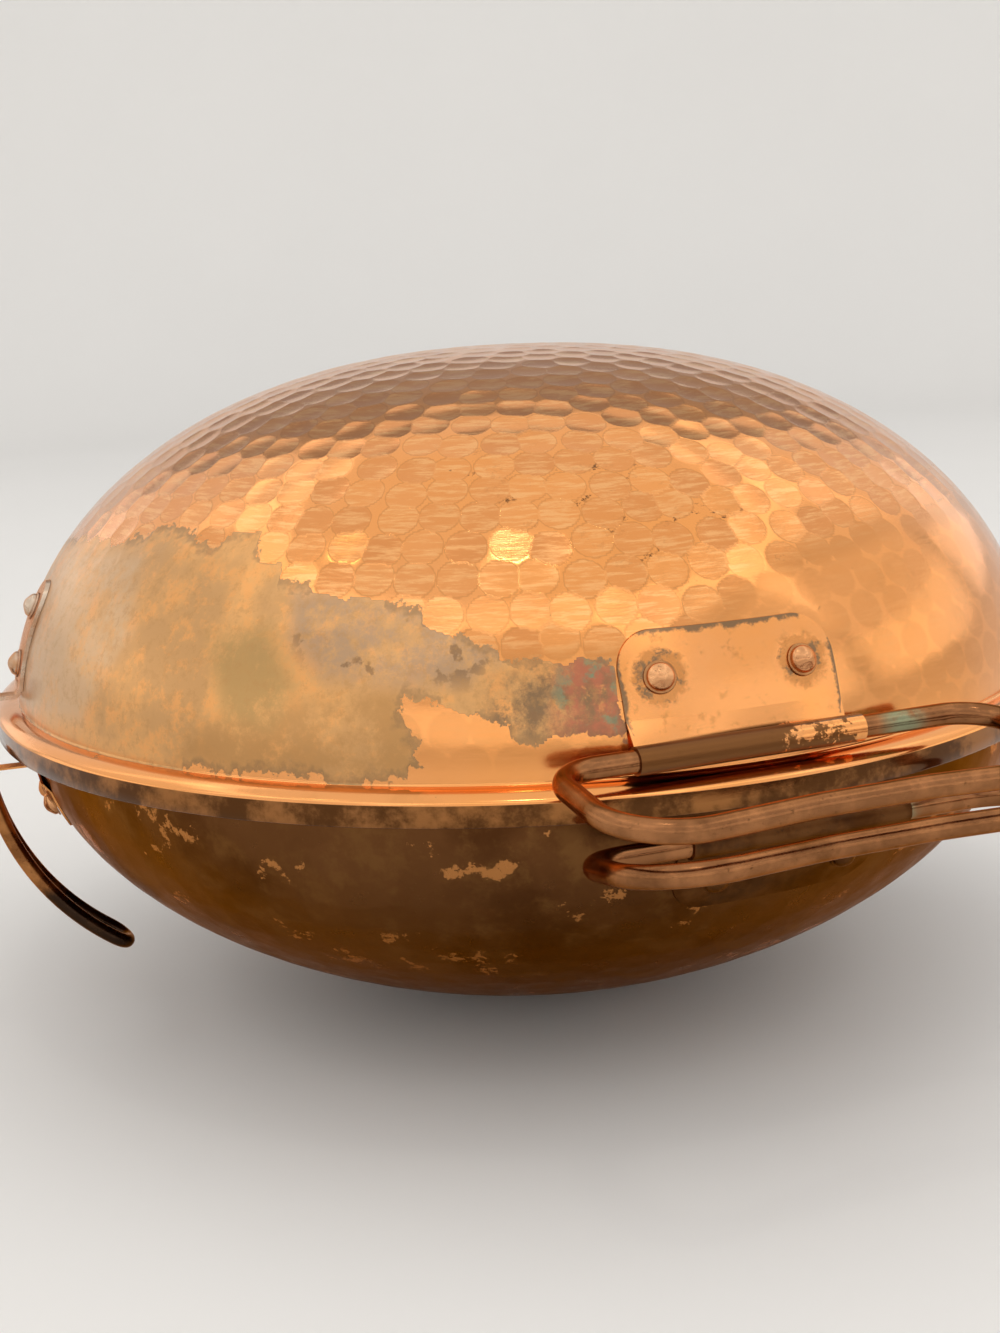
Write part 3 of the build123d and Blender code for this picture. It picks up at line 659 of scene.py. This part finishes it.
def copper(name, base, worn, dark, rough=(0.22, 0.38), pits=0.5, collars=(), tip=None):
    """Copper of one colour with worn, tarnished and pitted places.

    Collars are places with verdigris round them, and below the height tip it is painted
    near-black as a painted reflection of a dark floor.
    """
    n = Nodes(name)
    mottle = n.noise(110, 7, 0.6)
    colour = n.mix(n.ramp(mottle, 0.4, 0.66), base, worn)
    pit = n.ramp(n.noise(520, 6, 0.75), 0.60, 0.68)
    colour = n.mix(n.maths("MULTIPLY", pit, pits), colour, dark)
    colour = n.mix(n.ramp(n.noise(48, 5, 0.6), 0.5, 0.7, 0, 0.55), colour, dark)
    for place in collars:
        crust = n.maths("MULTIPLY", n.near(place, 3 * MM, 9 * MM), n.ramp(mottle, 0.3, 0.5))
        colour = n.mix(crust, colour, GREEN)
    # Painted reflection: below the height tip the copper is darkened nearly to black, standing in
    # for the dark floor it reflects.
    if tip:
        dark_reflection_height = n.maths("ADD", n.place_on("Z"), n.ramp(mottle, 0.3, 0.7, -4 * MM, 4 * MM))
        colour = n.mix(n.ramp(dark_reflection_height, tip + 4 * MM, tip - 4 * MM, 0, 0.9), colour, PIT_AND_SHADE_BLACK)
    roughness = n.ramp(mottle, 0.3, 0.7, *rough)
    normal = n.bump(n.noise(480, 6, 0.7), 0.06 * MM, 0.7)
    return n.finish(colour, roughness, normal, tint=WARM_EDGE)


def plate_material():
    """Bright sheet, darkened along its edges by tarnish and painted shade, tarnished round its
    rivets and on most of its barrel.
    """
    n = Nodes("bracket_sheet_copper")
    broad = n.noise(40, 6, 0.6)
    colour = n.mix(n.ramp(broad, 0.35, 0.65), BRIGHT, SALMON)
    colour = n.mix(n.ramp(n.noise(240, 7, 0.7), 0.56, 0.68, 0, 0.45), colour, DULL)
    wander = n.ramp(n.noise(300, 7, 0.7), 0.25, 0.75, -1.0, 1.0)
    # Partly painted shade: the plate goes slate along its side and far edges, tarnish and a
    # painted edge shadow together.
    rim = n.ramp(n.maths("ADD", n.field("edge"), wander), 1.5, 0.4)
    colour = n.mix(rim, colour, SLATE)
    ring = n.ramp(n.maths("ADD", n.field("rivet"), n.maths("MULTIPLY", wander, 1.6)), 8.0, 6.2)
    colour = n.mix(n.maths("MULTIPLY", ring, 0.6), colour, DULL)
    spots = n.maths("MULTIPLY", ring, n.ramp(n.noise(210, 7, 0.7), 0.52, 0.62))
    colour = n.mix(spots, colour, SLATE)
    ragged = n.ramp(n.noise(90, 9, 0.75), 0.3, 0.7, -22 * MM, 22 * MM)
    roll = n.ramp(n.maths("ADD", n.place_on("X"), ragged), 14 * MM, 11 * MM)
    roll = n.maths("MULTIPLY", roll, n.near(LID_BARREL, 4.6 * MM, 5.4 * MM, (0, 1, 1)))
    colour = n.mix(n.maths("MULTIPLY", roll, 0.92), colour, UMBER)
    rough = n.ramp(broad, 0.3, 0.7, 0.16, 0.26)
    rough = n.maths("ADD", rough, n.maths("MULTIPLY", roll, 0.14))
    normal = n.bump(n.noise(420, 6, 0.7), 0.05 * MM, 0.5)
    normal = n.bump(n.ramp(n.field("rivet"), 3.6, 9.0), 0.5 * MM, 0.7, normal)
    return n.finish(colour, rough, normal)


def rivet_places(name):
    """Middles of the rivets' heads, from the mesh's separate pieces."""
    node = frame["nodes"][name]
    points = np.array([node.matrix_world @ v.co for v in node.data.vertices])
    middle = points.mean(axis=0)
    across = points[:, 0] > middle[0]
    return [points[across].mean(axis=0), points[~across].mean(axis=0)]


def bracket_sheet():
    """The lid's bracket as a copy that carries the fields its tarnish and painted edge shade
    follow, in mm.
    """
    node = frame["nodes"]["lid_handle_bracket"]
    sheet = bpy.data.objects.new("lid_bracket_sheet", node.data.copy())
    bpy.context.scene.collection.objects.link(sheet)
    points = np.array([vertex.co for vertex in sheet.data.vertices])
    low, high = points.min(axis=0), points.max(axis=0)
    rise = (points[:, 2] - low[2]) / MM
    share = (points[:, 0] - low[0]) / (high[0] - low[0])
    from_side = (high[0] - low[0]) / MM * np.minimum(share, 1 - share) - PLATE_INSET
    from_far = (high[2] - low[2]) / MM - rise
    edge = np.where(rise < BARREL_HEIGHT, 9.0, np.minimum(from_side, from_far))
    near = np.min([np.linalg.norm(points - place, axis=1)
                   for place in rivet_places("lid_handle_rivets")], axis=0) / MM
    set_field(sheet, "edge", edge)
    set_field(sheet, "rivet", near)
    sheet.data.materials.clear()
    sheet.data.materials.append(plate_material())
    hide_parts("lid_handle_bracket")
    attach(sheet, "lid")


def dress_nodes():
    """Materials for the CAD nodes that keep their own shape."""
    rod = copper("rod_copper", (0.25, 0.105, 0.042), (0.36, 0.155, 0.062), BROWN,
                 (0.14, 0.26), 0.7, BARREL_ENDS)
    # The bail's end below BAIL_TIP is painted dark as a painted reflection of a dark floor.
    bail = copper("bail_copper", (0.22, 0.088, 0.03), (0.42, 0.18, 0.06), BROWN,
                  (0.2, 0.34), 0.6, tip=BAIL_TIP)
    head = copper("rivet_copper", (0.56, 0.255, 0.11), (0.80, 0.41, 0.19), BROWN,
                  (0.14, 0.3), 0.6)
    ring = copper("washer_copper", (0.52, 0.25, 0.10), (0.36, 0.17, 0.07), BROWN, (0.2, 0.36))
    strap = copper("tinned_strap", (0.60, 0.50, 0.40), (0.52, 0.34, 0.22), DULL, (0.24, 0.38))
    leaf = copper("leaf_copper", (0.70, 0.31, 0.105), (0.60, 0.26, 0.09), DULL,
                  (0.2, 0.34), 0.4)
    # Painted shade: the bowl's bracket, rivets and washers are coloured near-black brown for the
    # shade they sit in under the handle loops.
    low = copper("low_bracket_painted_shade", BROWN, UMBER, PIT_AND_SHADE_BLACK, (0.3, 0.42))
    pin = copper("pin_brass", (0.58, 0.42, 0.20), (0.45, 0.3, 0.15), BROWN, (0.25, 0.4))
    by_slot = {"bracket_copper": leaf, "rod_copper": rod, "bail_copper": bail,
               "rivet_copper": head, "washer_copper": ring, "keeper_tinned": strap,
               "pin_brass": pin}
    # These three parts carry the painted-shade material.
    own = {"bowl_handle_bracket": low, "bowl_handle_rivets": low, "bowl_handle_washers": low}
    slots = {row["node"]: row["material_slot"] for row in frame["record"]["subparts"]}
    for name, node in frame["nodes"].items():
        tinned = strap if "keeper" in name else None
        material = own.get(name) or tinned or by_slot.get(slots[name])
        if material:
            node.data.materials.clear()
            node.data.materials.append(material)


# ---------------------------------------------------------------- stage, light and camera
def stage():
    """A round pale floor that curves up into a low wall on every side."""
    reach, bend, height = 2.6, 0.5, 1.1
    profile = [(1e-4, 0.0), (0.25, 0.0), (0.6, 0.0), (1.2, 0.0), (reach - bend, 0.0)]
    profile += [(reach - bend + bend * math.sin(t), bend * (1 - math.cos(t)))
                for t in np.linspace(0, math.pi / 2, 13)[1:]]
    profile += [(reach, height)]
    out, up = np.array(profile).T
    floor = grid_object("studio_sweep", spin(out, up, 96)[::-1], False)
    n = Nodes("studio_paper")
    tone = n.mix(n.noise(3, 2), PAPER, PALE_PAPER)
    floor.data.materials.append(n.finish(tone, 0.7, metallic=0.0))
    floor.location.z = -0.2 * MM


CAMERA_AZIMUTH = 21.5
CAMERA_PLACE = Vector((-0.23317, -0.57124, 0.23431))
CAMERA_AIM = Vector((-0.00706, 0.00278, 0.10025))
CAMERA_ROLL = 2.65
LENS = 51.3
LIGHT_AIM = Vector((0, 0, 0.1))
WARM_WHITE = (1.0, 0.965, 0.92)
SPOT_WHITE = (1.0, 0.95, 0.85)
SPOT_YELLOW = (1.0, 0.9, 0.6)
WORLD_GREY = (0.40, 0.395, 0.39)
CEILING_GLOW = 0.60
PANEL_GLOW = 0.58
# Each panel's name, its degrees round from the camera's side and its width.
PANELS = (("front", 0, 2.4), ("front_left", -52, 1.7), ("front_right", 52, 1.7),
          ("left", -98, 1.7), ("right", 98, 1.7), ("back_left", -134, 0.9),
          ("back_right", 134, 0.9))


def camera():
    """The camera at the photo's place, fitted to the rim and both outlines."""
    data = bpy.data.cameras.new("camera")
    data.lens = LENS
    data.sensor_width = 36.0
    data.clip_start = 0.01
    obj = bpy.data.objects.new("camera", data)
    bpy.context.scene.collection.objects.link(obj)
    obj.location = CAMERA_PLACE
    turn = (CAMERA_AIM - CAMERA_PLACE).to_track_quat("-Z", "Y").to_matrix().to_4x4()
    roll = Matrix.Rotation(math.radians(-CAMERA_ROLL), 4, "Z")
    obj.rotation_euler = (turn @ roll).to_euler()
    bpy.context.scene.camera = obj


def softbox(name, place, size, glow, colour, shape="RECTANGLE"):
    """A lit panel facing the vessel; glow is its brightness, where 1 renders white."""
    light = bpy.data.lights.new(name, "AREA")
    light.shape = shape
    light.size, light.size_y = size
    area = size[0] * size[1] * (math.pi / 4 if shape == "DISK" else 1)
    light.energy = glow * area * math.pi
    light.color = colour
    obj = bpy.data.objects.new(name, light)
    bpy.context.scene.collection.objects.link(obj)
    obj.location = place
    obj.rotation_euler = (LIGHT_AIM - Vector(place)).to_track_quat("-Z", "Y").to_euler()
    obj.visible_camera = False


def lights():
    """A ceiling and a ring of panels, open behind the vessel, where its crown is dark."""
    turn = math.radians(CAMERA_AZIMUTH)
    away = Vector((math.sin(turn), math.cos(turn), 0))
    side = Vector((away.y, -away.x, 0))
    softbox("ceiling", (0, 0, 2.1), (3.4, 3.4), CEILING_GLOW, WARM_WHITE, "DISK")
    for name, degrees, width in PANELS:
        way = away * -math.cos(math.radians(degrees)) + side * math.sin(math.radians(degrees))
        softbox(name, way * 1.95 + Vector((0, 0, 1.3)), (width, 2.1), PANEL_GLOW, WARM_WHITE)
    softbox("spot", -away * 0.44 - side * 0.02 + Vector((0, 0, 1.5)), (0.08, 0.08), 26,
            SPOT_WHITE, "DISK")
    softbox("second_spot", (-0.745, 0.074, 1.5), (0.07, 0.07), 9, SPOT_YELLOW, "DISK")
    world = bpy.data.worlds.new("studio")
    world.use_nodes = True
    background = world.node_tree.nodes["Background"]
    background.inputs["Color"].default_value = (*WORLD_GREY, 1.0)
    background.inputs["Strength"].default_value = 1.0
    bpy.context.scene.world = world


bpy.context.scene.view_settings.view_transform = "Standard"
camera()
stage()
lights()
lid_object().data.materials.append(lid_material())
bowl_object().data.materials.append(bowl_material())
bracket_sheet()
dress_nodes()
